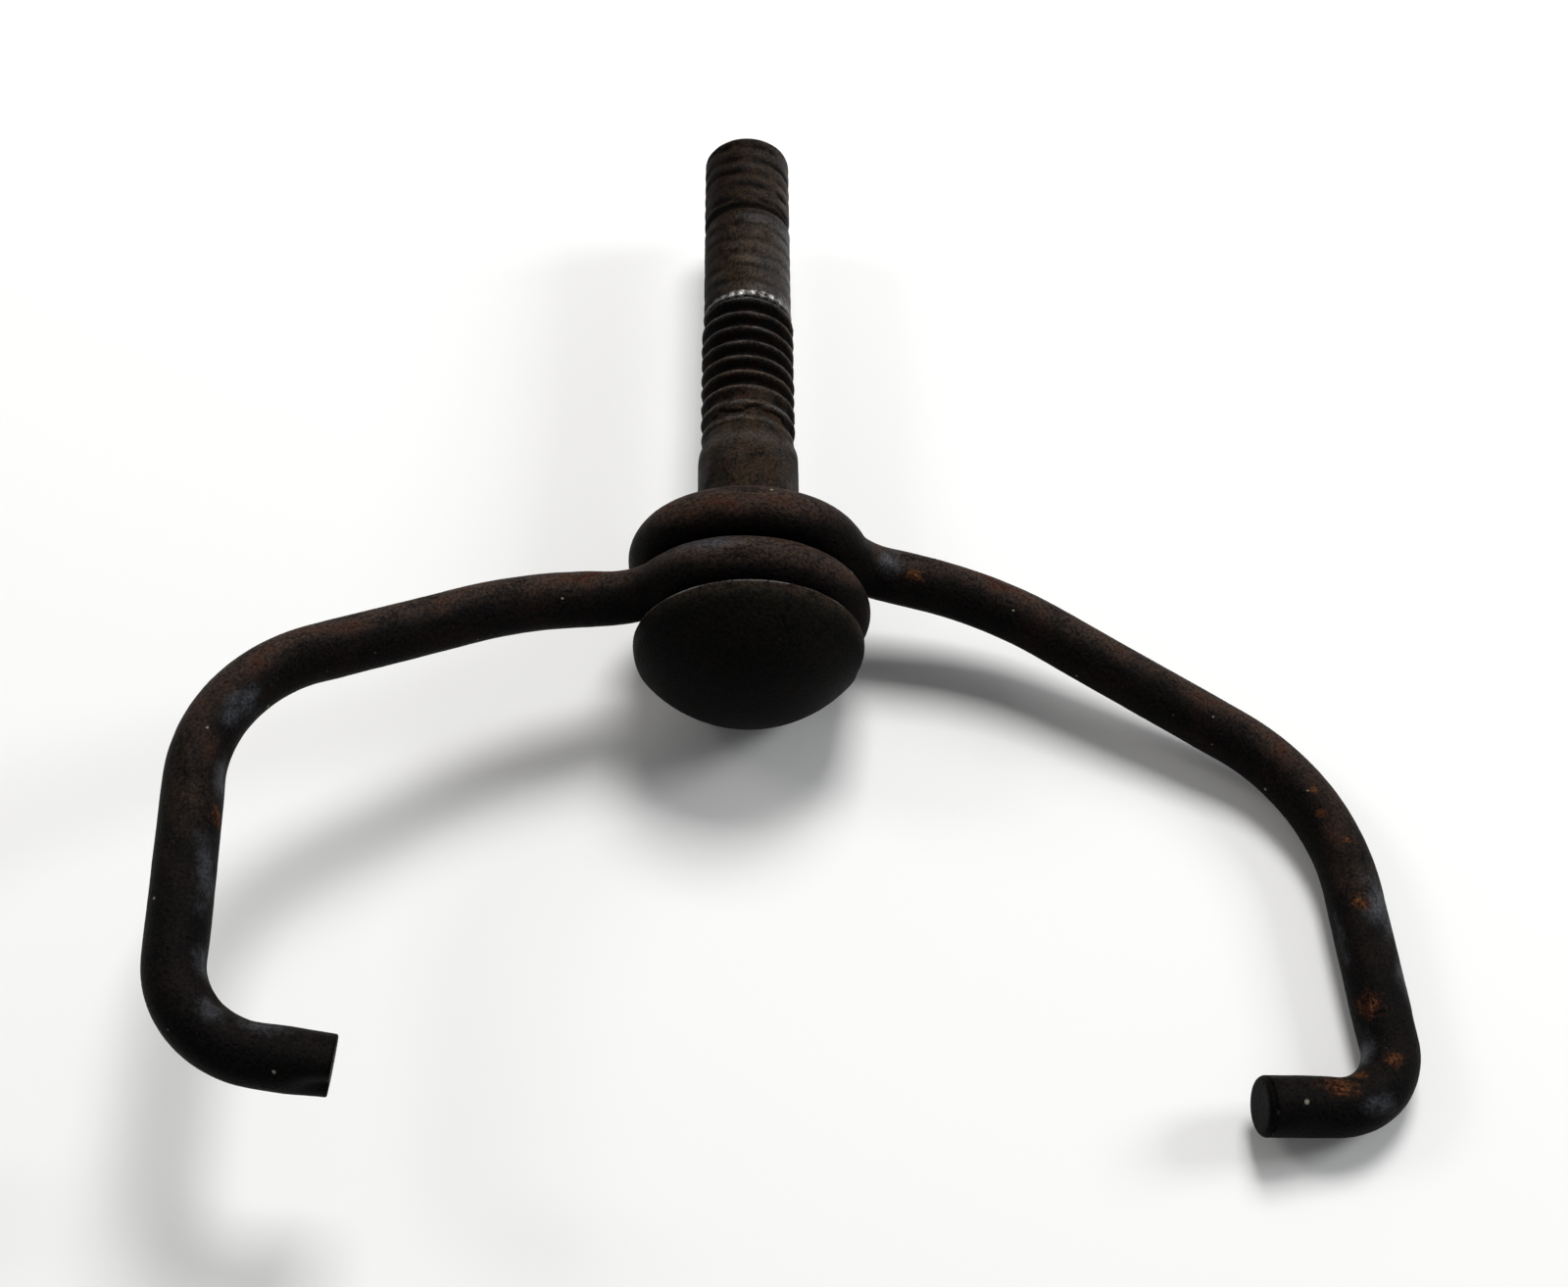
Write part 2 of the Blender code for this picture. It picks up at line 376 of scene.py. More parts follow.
@dataclass(frozen=True)
class BlackenedSteel:
    """Steel with a black oxide skin, a brown rust that also carries painted light, and scuffed places
    of clean metal that also carry painted sheen.

    Attributes:
        skin: Colour of the oxide, which stays dark as painted shade on faces turned away from the
            painted light.
        bloom_and_painted_light: Brown of the thin rust, laid on the rods as painted light on faces
            turned up and back, and more weakly on faces turned down.
        ochre_and_painted_light: Yellower brown of the thin rust on the stud, laid on as painted light
            on faces turned toward the lamps.
        dome_painted_shade: Much dimmer brown that the head takes in its place: painted shade on the
            dull dome.
        deep_rust: Red brown of thicker rust.
        orange: Colour of fresh rust spots.
        bare_and_sheen: Bluish colour of metal scuffed clean, also laid on as painted sheen.
        fleck: Colour of pale dust specks.
        dirt: Dark red brown of dirt in hollows, also laid on as painted shade in the bolt's thread
            roots and groove.
        polish_and_glint_colour: Pale colour of polished metal, also laid on as painted glints.
        tarnish: Colour of old bare metal.
        roughness: Roughness of the oxide skin.
        gloss: Level of its mirror-like reflection.
        bump: Strength of the bump.
        eye_top: Direction of the painted top light on the eyes.
        reach_top: Direction of the painted top light on the rest of each rod.
        stud_top: Direction of the painted top light on the bolt, leaning toward the right-hand lamp.
        underside: Direction of the weaker painted light from below.
        leg_span: Places along a rod between which the rust comes in, in metres.
        eye_span: Places along a rod between which its reach gives way to its eye.
        cut_span: Places along a rod between which its cut end darkens, as painted shade on the cut
            face.
        dome_shade_depth: Length over which the head's painted shade gives way to the stud's painted
            light.
        rod_scales: How fine the rods' noises are.
        bolt_scales: How fine the bolt's noises are.
    """

    skin: Colour = (0.0028, 0.0026, 0.0025)
    bloom_and_painted_light: Colour = (0.0340, 0.0222, 0.0170)
    ochre_and_painted_light: Colour = (0.0215, 0.0142, 0.0088)
    dome_painted_shade: Colour = (0.0052, 0.0049, 0.0036)
    deep_rust: Colour = (0.0330, 0.0105, 0.0060)
    orange: Colour = (0.1000, 0.0400, 0.0150)
    bare_and_sheen: Colour = (0.0560, 0.0600, 0.0680)
    fleck: Colour = (0.3200, 0.2900, 0.2300)
    dirt: Colour = (0.0030, 0.0011, 0.0008)
    polish_and_glint_colour: Colour = (0.5200, 0.5100, 0.4900)
    tarnish: Colour = (0.0740, 0.0580, 0.0440)
    roughness: float = 0.52
    gloss: float = 0.02
    bump: float = 0.75
    eye_top: Direction = (0.0, 0.55, 1.0)
    reach_top: Direction = (0.0, 1.2, 1.0)
    stud_top: Direction = (0.35, 0.0, 1.0)
    underside: Direction = (0.0, 0.35, -1.0)
    leg_span: tuple[float, float] = (0.013, 0.029)
    eye_span: tuple[float, float] = (0.052, 0.062)
    cut_span: tuple[float, float] = (0.30 * MM, 0.05 * MM)
    dome_shade_depth: float = 1.2 * MM
    rod_scales: Scales = Scales(broad=170.0, blotch=700.0, pits=2600.0, dust=520.0)
    bolt_scales: Scales = Scales(broad=230.0, blotch=1000.0, pits=2500.0, dust=500.0, relief=0.10 * MM)

    def dress_rod(
        self, name: str, rust: Sequence[Patch], sheen: Sequence[Patch], flecks: Sequence[Patch]
    ) -> bpy.types.Material:
        """Make the finish of a hooked rod.

        Args:
            name: The material's name.
            rust: Orange rust spots.
            sheen: Places where bluish metal shows: partly scuffed metal, partly painted sheen where the
                lamps catch the rod.
            flecks: Pale specks.

        Returns:
            The material.
        """
        graph = Graph(name)
        scales = self.rod_scales
        place = graph.attribute("rod_place", "Vector")
        clouds = self._clouds(graph, place, scales, (0.5, 1.0, 1.0))
        broad, blotch, grain = clouds.broad, clouds.blotch, clouds.grain
        # Painted light: brown rust is laid on most thickly where a face turns up and back, toward the
        # back lamp, and more weakly where it turns down; faces turned to the side keep the dark oxide
        # as painted shade.
        upward = graph.facing(self.eye_top)
        backward = graph.facing(self.reach_top)
        along = graph.part(place, "X")
        reach = 0.14 + 0.86 * (along + 0.020 * (broad - 0.5)).ramp(*self.leg_span)
        eye = along.ramp(*self.eye_span)
        upper = (backward + (upward - backward) * eye + (broad - 0.5)).ramp(0.22, 0.98)
        under = 0.55 * graph.facing(self.underside).ramp(0.0, 0.8)
        facing = (0.06 + 0.94 * upper + under) * reach
        bloom_and_painted_light = (facing * clouds.broken(0.5, 0.25, 0.60)).clamped()
        colour = graph.tint(bloom_and_painted_light, self.skin, self.bloom_and_painted_light)
        # The red rust is also weighted toward the painted top light.
        red = (blotch.ramp(0.48, 0.66) * broad.ramp(0.38, 0.60) * (0.10 + 0.90 * facing)).clamped()
        colour = graph.tint(red * reach * 0.8, colour, self.deep_rust)
        # Painted sheen: bluish, partly metallic patches set where the lamps catch the rods, partly over
        # real scuffs.
        bare_and_sheen = self._marks(graph, place, sheen, 420.0, 1.1, -0.4)
        rubbed_and_sheen = (bare_and_sheen * (0.25 + 0.75 * clouds.broken(0.25, 0.32, 0.62))).clamped()
        colour = graph.tint(rubbed_and_sheen * 0.85, colour, self.bare_and_sheen)
        spots = self._marks(graph, place, rust, 1500.0, 0.95, 0.2)
        spots = (spots * (0.35 + 0.65 * clouds.broken(0.3, 0.30, 0.55))).clamped()
        fresh = graph.tint(clouds.broken(0.6, 0.40, 0.66), self.deep_rust, self.orange)
        colour = graph.tint(spots * 0.75, colour, fresh)
        dust = graph.cells(place, scales.dust).ramp(0.060, 0.040) * broad.ramp(0.54, 0.60)
        dust = (dust + self._marks(graph, place, flecks, 3500.0, 1.1, 0.4)).clamped()
        colour = clouds.grained(colour, 1.0 - 0.5 * rubbed_and_sheen, self.dirt)
        # Painted shade: the hook's cut face is darkened.
        cut_face = along.ramp(*self.cut_span)
        colour = graph.brighten(colour, 1.0 - 0.6 * cut_face)
        colour = graph.tint(dust * 0.55, colour, self.fleck)
        rough = self.roughness + 0.30 * (grain - 0.5) + 0.20 * red + 0.30 * spots - 0.16 * rubbed_and_sheen
        metal = 0.80 * rubbed_and_sheen - spots - dust
        height = clouds.height() + 0.4 * spots * grain
        return self._close(graph, colour, rough, metal, height, scales.relief)

    def dress_bolt(self, name: str, head_place: float) -> bpy.types.Material:
        """Make the finish of the bolt, from the scuffing with painted side light, the dirt with painted
        shade, and the polish with painted glints stored on its mesh.

        Args:
            name: The material's name.
            head_place: Place along Y of the head's underside.

        Returns:
            The material.
        """
        graph = Graph(name)
        scales = self.bolt_scales
        place = graph.single("ShaderNodeTexCoord", {}, {}, "Object")
        clouds = self._clouds(graph, place, scales, (1.0, 1.0, 1.0))
        broad, mottle, grain = clouds.broad, clouds.blotch, clouds.grain
        wear_and_side_light, dirt_and_shade, polish_and_glint = (graph.attribute(name) for name in DomeHeadBolt.stored)
        # Painted light: brown is laid on faces turned up and toward the right-hand lamp, and more
        # weakly on faces turned down; the head takes a much dimmer brown, as painted shade on the dome.
        upward = graph.facing(self.stud_top)
        on_head = graph.part(place, "Y").ramp(head_place, head_place - self.dome_shade_depth)
        under = 0.6 * graph.facing(self.underside).ramp(0.0, 0.8)
        facing = 0.06 + 0.94 * (upward + 0.8 * (broad - 0.5)).ramp(0.10, 1.00) + under
        bloom_and_painted_light = graph.tint(on_head, self.ochre_and_painted_light, self.dome_painted_shade)
        colour = graph.tint(facing * clouds.broken(0.5, 0.25, 0.60), self.skin, bloom_and_painted_light)
        red = (mottle.ramp(0.46, 0.68) * (0.2 + 0.8 * dirt_and_shade) * (1.0 - 0.8 * on_head)).clamped()
        colour = graph.tint(red * 0.7, colour, self.deep_rust)
        # Scuffed metal, with the painted side light of the crushed stretch.
        scuffed_and_side_lit = (wear_and_side_light * (0.35 + 1.2 * mottle + 0.8 * (grain - 0.5))).clamped()
        colour = graph.tint(scuffed_and_side_lit, colour, graph.tint(broad.ramp(0.35, 0.65), self.bare_and_sheen, self.tarnish))
        # Dark dirt colour, laid on by the mask of dirt and painted shade.
        dirt_and_shade_colour = graph.tint(mottle.ramp(0.42, 0.62), self.skin, self.dirt)
        colour = graph.tint(dirt_and_shade * 0.9, colour, dirt_and_shade_colour)
        colour = clouds.grained(colour, 1.0 - 0.6 * scuffed_and_side_lit, self.dirt)
        # Polish and painted glints, in pale metal.
        polish_and_glint = (polish_and_glint * clouds.broken(0.8, 0.30, 0.52)).clamped()
        colour = graph.tint(polish_and_glint, colour, self.polish_and_glint_colour)
        dust = graph.cells(place, scales.dust).ramp(0.055, 0.035) * broad.ramp(0.54, 0.62)
        colour = graph.tint(dust * 0.6, colour, self.fleck)
        rough = self.roughness + 0.04 + 0.30 * (grain - 0.5) + 0.18 * red - 0.27 * scuffed_and_side_lit - 0.15 * polish_and_glint
        metal = 0.85 * scuffed_and_side_lit + polish_and_glint - 0.3 * dirt_and_shade - 0.3 * dust
        return self._close(graph, colour, rough, metal, clouds.height(), scales.relief)

    @staticmethod
    def _clouds(graph: Graph, place: Signal, scales: Scales, stretch: Sequence[float]) -> Clouds:
        """Make the noises of a finish.

        Args:
            graph: The material's graph.
            place: Where the noises are read.
            scales: How fine they are.
            stretch: Factors along each axis that draw the blotches out.

        Returns:
            The noises.
        """
        broad = graph.noise(place, scales.broad, 4.0, 0.65)
        blotch = graph.noise(graph.stretch(place, stretch), scales.blotch, 5.0, 0.7)
        grain = graph.noise(place, scales.grain, 3.0, 0.75)
        return Clouds(graph, place, broad, blotch, grain, graph.cells(place, scales.pits))

    @staticmethod
    def _marks(
        graph: Graph,
        place: Signal,
        patches: Iterable[Patch],
        ragged: float,
        raggedness: float,
        core: float,
    ) -> Signal:
        """Return a mask of soft-edged marks whose outlines are broken up by noise.

        Args:
            graph: The material's graph.
            place: Places on the straight rod.
            patches: The marks.
            ragged: Lumps of the outline in a metre.
            raggedness: How far the outline wanders, as a share of the mark's radius.
            core: Share of the radius inside which the mark is at its full strength.

        Returns:
            The mask, from 0 to 1.
        """
        wobble = graph.noise(place, ragged, 4.0, 0.7)
        mask = wobble * 0.0
        for patch in patches:
            turn = math.radians(patch.around)
            reach = (1.0 / patch.stretch, 1.0, 1.0)
            radius = HookArm.rod_radius
            along = patch.along_mm * MM / patch.stretch
            centre = (along, radius * math.cos(turn), radius * math.sin(turn))
            away = graph.distance(graph.stretch(place, reach), centre)
            away = away * (1.0 / (patch.size_mm * MM)) + (wobble - 0.5) * (2.0 * raggedness)
            mask = away.ramp(1.0, core) + mask
        return mask.clamped()

    def _close(
        self, graph: Graph, colour: Signal, rough: Signal, metal: Signal, height: Signal, depth: float
    ) -> bpy.types.Material:
        """Close a finish.

        Args:
            graph: The material's graph.
            colour: Its base colour.
            rough: Its roughness.
            metal: How metallic it is.
            height: Height of its relief, from 0 to 1.
            depth: Height of the relief in metres.

        Returns:
            The material.
        """
        relief = {"Height": height, "Strength": self.bump, "Distance": depth}
        surface = {
            "Base Color": colour,
            "Roughness": rough.clamped(),
            "Metallic": metal.clamped(),
            "Normal": graph.single("ShaderNodeBump", {}, relief, "Normal"),
            "Specular IOR Level": self.gloss,
        }
        return graph.finish(surface)


# --------------------------------------------------------------------------------------
# Ringed surfaces
# --------------------------------------------------------------------------------------


@dataclass
class Skin:
    """A closed surface made of rings of points, with values stored on them.

    Attributes:
        name: Name of the piece.
        rings: Rings of points, all with the same number, from one end to the other.
        values: Stored numbers by name, one list for each ring.
        vectors: Stored vectors by name, one list for each ring.
    """

    name: str
    rings: list[list[Vector]]
    values: dict[str, list[list[float]]]
    vectors: dict[str, list[list[Vector]]]

    def build(self) -> bpy.types.Object:
        """Join the rings by quads and close each end by a fan of triangles.

        Returns:
            The object, linked to the scene.
        """
        count = len(self.rings[0])
        points = [point for ring in self.rings for point in ring]
        faces = []
        for row in range(len(self.rings) - 1):
            for column in range(count):
                after = (column + 1) % count
                low, high = row * count, (row + 1) * count
                faces.append((low + column, low + after, high + after, high + column))
        for ring_index, turned in ((0, True), (len(self.rings) - 1, False)):
            ring = self.rings[ring_index]
            centre = sum(ring, Vector()) / count
            points.append(centre)
            for column in range(count):
                pair = [ring_index * count + column, ring_index * count + (column + 1) % count]
                faces.append((*(reversed(pair) if turned else pair), len(points) - 1))
        mesh = bpy.data.meshes.new(self.name)
        mesh.from_pydata(points, [], faces)
        for name, rows in self.values.items():
            flat = [value for row in rows for value in row] + [rows[0][0], rows[-1][0]]
            mesh.attributes.new(name, "FLOAT", "POINT").data.foreach_set("value", flat)
        for name, rows in self.vectors.items():
            every = [place for row in rows for place in row] + [rows[0][0], rows[-1][0]]
            flat = [number for place in every for number in place]
            mesh.attributes.new(name, "FLOAT_VECTOR", "POINT").data.foreach_set("vector", flat)
        mesh.validate()
        mesh.shade_smooth()
        piece = bpy.data.objects.new(self.name, mesh)
        bpy.context.scene.collection.objects.link(piece)
        return piece


# --------------------------------------------------------------------------------------
# The bolt
# --------------------------------------------------------------------------------------


@dataclass
class Station:
    """One ring of the bolt before its relief is added.

    Attributes:
        place: Place along the stud from the head's underside.
        radius: Radius of the ring.
        wear_and_side_light: How far it is scuffed clean, from 0 to 1; on the crushed stretch a painted
            side light is added to it.
        dirt_and_shade: How much dirt and painted shade it takes, from 0 to 1.
    """

    place: float
    radius: float
    wear_and_side_light: float = 0.0
    dirt_and_shade: float = 0.0


@dataclass
class DomeHeadBolt:
    """The bolt: a domed head, a plain shoulder and a stud with fresh and worn thread.

    Places along the stud are measured from the underside of the head toward the tip, except the
    crack's, which is measured from neck_end. A name that ends in half gives half the width of a
    band of relief.
    """

    stored: ClassVar[tuple[str, ...]] = ("wear_and_side_light", "dirt_and_shade", "polish_and_glint")
    facets: ClassVar[float] = 26.0

    origin: Vector
    head_radius: float = 7.18 * MM
    rim_height: float = 1.0 * MM
    dome_height: float = 3.76 * MM
    rim_round: float = 0.28 * MM
    shoulder_radius: float = 3.29 * MM
    shoulder_length: float = 13.8 * MM
    shoulder_round: float = 0.9 * MM
    neck_radius: float = 3.04 * MM
    neck_end: float = 15.3 * MM
    thread_radius: float = 3.17 * MM
    thread_pitch: float = 1.27 * MM
    thread_depth: float = 0.62 * MM
    thread_end: float = 26.05 * MM
    worn_radius: float = 2.985 * MM
    groove_place: float = 34.5 * MM
    tip_round: float = 0.42 * MM
    length: float = 41.2 * MM
    crest_flat: float = 0.12
    root_start: float = 0.86
    nick_angle: float = math.radians(-12.0)
    nick_half: float = math.radians(7.0)
    nick_depth: float = 0.10 * MM
    crack_place_mm: float = 0.95
    crack_wander_mm: float = 0.55
    crack_half: float = 0.20 * MM
    crack_depth: float = 0.22 * MM
    gap_depth: float = 0.30 * MM
    groove_half: float = 0.42 * MM
    groove_depth: float = 0.24 * MM
    facet_height: float = 0.030 * MM
    worn_limit: float = 3.02 * MM
    sides: int = 112
    step: float = 0.07 * MM

    def stations(self) -> list[Station]:
        """List the bolt's rings.

        Returns:
            The rings from the middle of the dome to the middle of the stud's tip.
        """
        rings = self._head_stations()
        rings += self._shoulder_stations()
        place = self.neck_end
        while place < self.length - self.tip_round:
            rings.append(Station(place, self.thread_radius))
            place += self.step
        for share in range(7):
            turn = math.radians(90.0) * share / 6.0
            radius = self.worn_radius - self.tip_round * (1.0 - math.cos(turn))
            here = self.length - self.tip_round * (1.0 - math.sin(turn))
            rings.append(Station(here, radius, wear_and_side_light=0.25 * math.sin(2.0 * turn)))
        for share in range(1, 8):
            radius = (self.worn_radius - self.tip_round) * (1.0 - share / 8.0)
            rings.append(Station(self.length, radius, dirt_and_shade=0.25))
        return rings

    def _head_stations(self) -> list[Station]:
        """List the rings of the head.

        Returns:
            The rings of the dome, the rounded rim and the head's underside.
        """
        sphere = (self.head_radius**2 + self.dome_height**2) / (2.0 * self.dome_height)
        crown = -self.rim_height - self.dome_height
        rim_angle = math.asin((self.head_radius - 0.1 * MM) / sphere)
        rings = []
        for share in range(1, 41):
            turn = rim_angle * share / 41.0
            rings.append(Station(crown + sphere * (1.0 - math.cos(turn)), sphere * math.sin(turn)))
        for share in range(5):
            turn = share / 4.0
            here = -self.rim_height + (self.rim_height - self.rim_round) * turn
            bulge = self.head_radius - 0.10 * MM * (1.0 - turn) ** 2
            rings.append(Station(here, bulge))
        for share in range(1, 8):
            turn = math.radians(90.0) * share / 7.0
            radius = self.head_radius - self.rim_round * (1.0 - math.cos(turn))
            here = -self.rim_round + self.rim_round * math.sin(turn)
            rings.append(Station(here, radius, wear_and_side_light=0.8 * math.sin(2.0 * turn) ** 2))
        for share in range(1, 7):
            radius = blend(self.head_radius - self.rim_round, self.shoulder_radius, share / 6.0)
            # The head's underside is darkened.
            rings.append(Station(0.0, radius, wear_and_side_light=0.2 * (1.0 - share / 6.0), dirt_and_shade=0.5))
        return rings

    def _shoulder_stations(self) -> list[Station]:
        """List the rings between the head and the thread.

        Returns:
            The rings of the shoulder, its rounded end and the neck.
        """
        rings = []
        place = 0.15 * MM
        while place < self.shoulder_length:
            rings.append(Station(place, self.shoulder_radius))
            place += 0.22 * MM
        for share in range(13):
            turn = math.radians(90.0) * share / 12.0
            radius = blend(self.neck_radius, self.shoulder_radius, math.cos(turn))
            rings.append(Station(self.shoulder_length + self.shoulder_round * math.sin(turn), radius))
        place = self.shoulder_length + self.shoulder_round + self.step
        while place < self.neck_end - 0.5 * self.step:
            rings.append(Station(place, self.neck_radius))
            place += self.step
        return rings

    def crest(self, place: float, angle: float) -> float:
        """Work out how high the thread stands at a point.

        Args:
            place: The point's place along the stud.
            angle: The point's angle round the stud.

        Returns:
            0 at the root, 1 at the crest.
        """
        phase = place / self.thread_pitch - angle / math.tau
        from_crest = abs(phase - round(phase)) * 2.0
        flank = self.root_start - self.crest_flat
        return min(1.0, max(0.0, (self.root_start - from_crest) / flank))

    def relief(self, ring: Station, angle: float) -> Point:
        """Work out one point's radius, its scuffing with painted side light, its dirt with painted
        shade, and its polish with painted glints.

        Args:
            ring: The ring that the point is on.
            angle: The point's angle round the stud, from +X toward +Z.

        Returns:
            The radius, then the scuffing, the dirt and painted shade, and the polish and painted
            glints, each from 0 to 1.
        """
        place = ring.place
        spot = Vector((math.cos(angle), place / (3.0 * MM), math.sin(angle))) * 3.0 * MM
        if place < 0.0 or ring.radius > self.shoulder_radius * 1.001 and place < 0.1 * MM:
            return self._head_relief(ring, angle, spot)
        if place < self.neck_end:
            dent = 0.035 * MM * lumps(spot, 4.0) + 0.012 * MM * lumps(spot, 0.9)
            edge = bump_between(self.shoulder_length + 0.2 * MM, 0.7 * MM, place)
            wear_and_side_light = 0.25 * edge + 0.06 + 0.2 * lumps(spot, 2.0)
            return ring.radius + dent - 0.02 * MM, wear_and_side_light, 0.0, 0.0
        if ring.radius < self.worn_radius and place > self.length - self.tip_round:
            rough = 0.02 * MM * lumps(spot, 0.8)
            radius = max(0.0, ring.radius + rough * ring.radius / self.worn_radius)
            return radius, ring.wear_and_side_light, ring.dirt_and_shade, 0.0
        if place < self.thread_end:
            return self._thread_relief(place, angle, spot)
        return self._worn_relief(place, angle, spot)

    def _head_relief(self, ring: Station, angle: float, spot: Vector) -> Point:
        """Work out a point of the head, which has a nick in its rim.

        Args:
            ring: The ring that the point is on.
            angle: The point's angle round the stud.
            spot: Where the point's noise is read.

        Returns:
            The radius, the scuffing, the dirt and painted shade, and the polish and painted highlight.
        """
        share = ring.radius / self.head_radius
        nick = bump_between(self.nick_angle, self.nick_half, angle) * smooth_step(0.9, 1.0, share)
        wave = 0.03 * MM * lumps(spot * (0.4 + share), 3.0) * share
        radius = min(self.head_radius, ring.radius + wave - 0.02 * MM * share) - self.nick_depth * nick
        chipped = min(1.0, max(0.0, 0.5 + 1.1 * lumps(spot * 2.3, 1.4)))
        # The pale ring on the rim's rounding is partly polish and partly a painted highlight.
        return max(0.0, radius), 0.6 * ring.wear_and_side_light * chipped, ring.dirt_and_shade, 0.45 * ring.wear_and_side_light * chipped

    def _thread_relief(self, place: float, angle: float, spot: Vector) -> Point:
        """Work out a point of the good thread, which is choked with dirt next to the neck.

        Args:
            place: The point's place along the stud.
            angle: The point's angle round the stud.
            spot: Where the point's noise is read.

        Returns:
            The radius, the scuffing, the dirt and painted shade, and the polish and painted glints.
        """
        crest = self.crest(place, angle)
        from_neck = place - self.neck_end
        choked = smooth_step(3.7 * MM, 1.3 * MM, from_neck + 0.9 * MM * lumps(spot, 1.3))
        clear = 1.0 - choked * smooth_step(0.10, 0.85, math.sin(angle) + 0.25 * lumps(spot, 1.1))
        depth = self.thread_depth * blend(0.12, 1.0, clear)
        run_in = smooth_step(0.0, 0.7 * MM, from_neck)
        wander = self.crack_wander_mm * lumps(Vector((angle * 3.0 * MM, 0.0, 0.0)), 1.2)
        crooked = self.neck_end + (self.crack_place_mm + wander) * MM
        crack = bump_between(crooked, self.crack_half, place) * smooth_step(0.35, 0.65, math.sin(angle))
        top = blend(self.neck_radius, self.thread_radius - 0.02 * MM, run_in)
        worn_crest = 0.035 * MM * (1.0 + lumps(spot, 1.1)) * crest
        shoulder_gap = smooth_step(self.thread_end, self.thread_end - 0.25 * MM, place)
        radius = top - depth * (1.0 - crest) * max(run_in, 0.3) - worn_crest
        radius = blend(self.worn_radius - self.gap_depth, radius, shoulder_gap)
        radius += 0.03 * MM * lumps(spot, 0.5) - self.crack_depth * crack
        wear_and_side_light = crest**6 * (0.45 + 0.35 * lumps(spot, 1.3)) * shoulder_gap
        # Painted shade: the thread roots and the crack darken most where the thread is deepest and
        # least where dirt has filled it; part of this is dirt.
        dirt_and_shade = smooth_step(0.0, 0.45, 1.0 - crest) * blend(0.15, 1.0, clear) + crack
        return radius, max(0.0, wear_and_side_light), min(1.0, dirt_and_shade), 0.0

    def _worn_relief(self, place: float, angle: float, spot: Vector) -> Point:
        """Work out a point where the thread has been crushed nearly smooth.

        Args:
            place: The point's place along the stud.
            angle: The point's angle round the stud.
            spot: Where the point's noise is read.

        Returns:
            The radius, the scuffing with painted side light, the dirt and painted shade, and the polish
            and painted glints.
        """
        crest = self.crest(place, angle)
        past_groove = smooth_step(self.groove_place - 0.3 * MM, self.groove_place + 0.3 * MM, place)
        patchy = 0.50 + 1.3 * lumps(spot, 1.5)
        line_depth = blend(0.055 * MM, 0.14 * MM, past_groove) * min(1.3, max(0.0, patchy))
        root = (1.0 - crest) ** 2
        groove = bump_between(self.groove_place, self.groove_half, place)
        rim = bump_between(self.thread_end + 0.42 * MM, 0.40 * MM, place)
        wave = math.cos(self.facets * angle)
        start = smooth_step(self.thread_end, self.thread_end + 0.12 * MM, place)
        radius = self.worn_radius - line_depth * root - self.groove_depth * groove
        radius += self.facet_height * wave * rim
        radius += 0.012 * MM * lumps(spot, 0.7) + 0.015 * MM * rim
        radius = min(self.worn_limit, blend(self.worn_radius - self.gap_depth, radius, start))
        bright = blend(0.22, 0.08, past_groove) + 0.25 * lumps(spot, 1.5)
        # Painted highlight: the 0.35 cos(angle) term lightens the side of the crushed stretch that
        # faces +X, toward the right-hand lamp.
        wear_and_side_light = (bright * (1.0 - 0.7 * root) + 0.35 * math.cos(angle)) * (1.0 - groove) + 0.3 * rim
        # Painted shade in the roots of the crushed lines and in the groove, over dirt that thickens
        # past the groove.
        packed = 0.90 * root * patchy * blend(0.5, 1.0, past_groove)
        dirt_and_shade = min(1.0, packed + 0.30 * past_groove + groove)
        # Painted glints: bright spots on the upper side of the facets at the step, where the lamps
        # catch them.
        edge = bump_between(self.thread_end + 0.30 * MM, 0.30 * MM, place)
        upper = smooth_step(0.55, 0.95, math.sin(angle + 0.25))
        polish_and_glint = edge * (0.15 + 0.85 * upper * smooth_step(-0.2, 0.5, wave))
        return radius, min(1.0, max(0.0, wear_and_side_light * start)), max(0.0, dirt_and_shade), polish_and_glint

    def build(self, finish: BlackenedSteel) -> bpy.types.Object:
        """Make the bolt, dress it and put it in place of its solid.

        Args:
            finish: The steel that it is dressed in.

        Returns:
            The bolt's object.
        """
        rings: list[list[Vector]] = []
        values: dict[str, list[list[float]]] = {name: [] for name in self.stored}
        for station in self.stations():
            ring, marks = [], []
            for side in reversed(range(self.sides)):  # so that the faces point outward
                angle = math.tau * side / self.sides
                if angle > math.pi:
                    angle -= math.tau
                radius, *point_marks = self.relief(station, angle)
                across = Vector((math.cos(angle), 0.0, math.sin(angle))) * radius
                ring.append(self.origin + across + Vector((0.0, station.place, 0.0)))
                marks.append(point_marks)
            rings.append(ring)
            for name, column in zip(self.stored, zip(*marks)):
                values[name].append(list(column))
        piece = Skin("bolt_detailed", rings, values, {}).build()
        piece.data.materials.append(finish.dress_bolt("bolt_blackened_steel", self.origin.y))
        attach(piece, "bolt")
        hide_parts("dome_head_bolt")
        return piece


# --------------------------------------------------------------------------------------
# The arms
# --------------------------------------------------------------------------------------


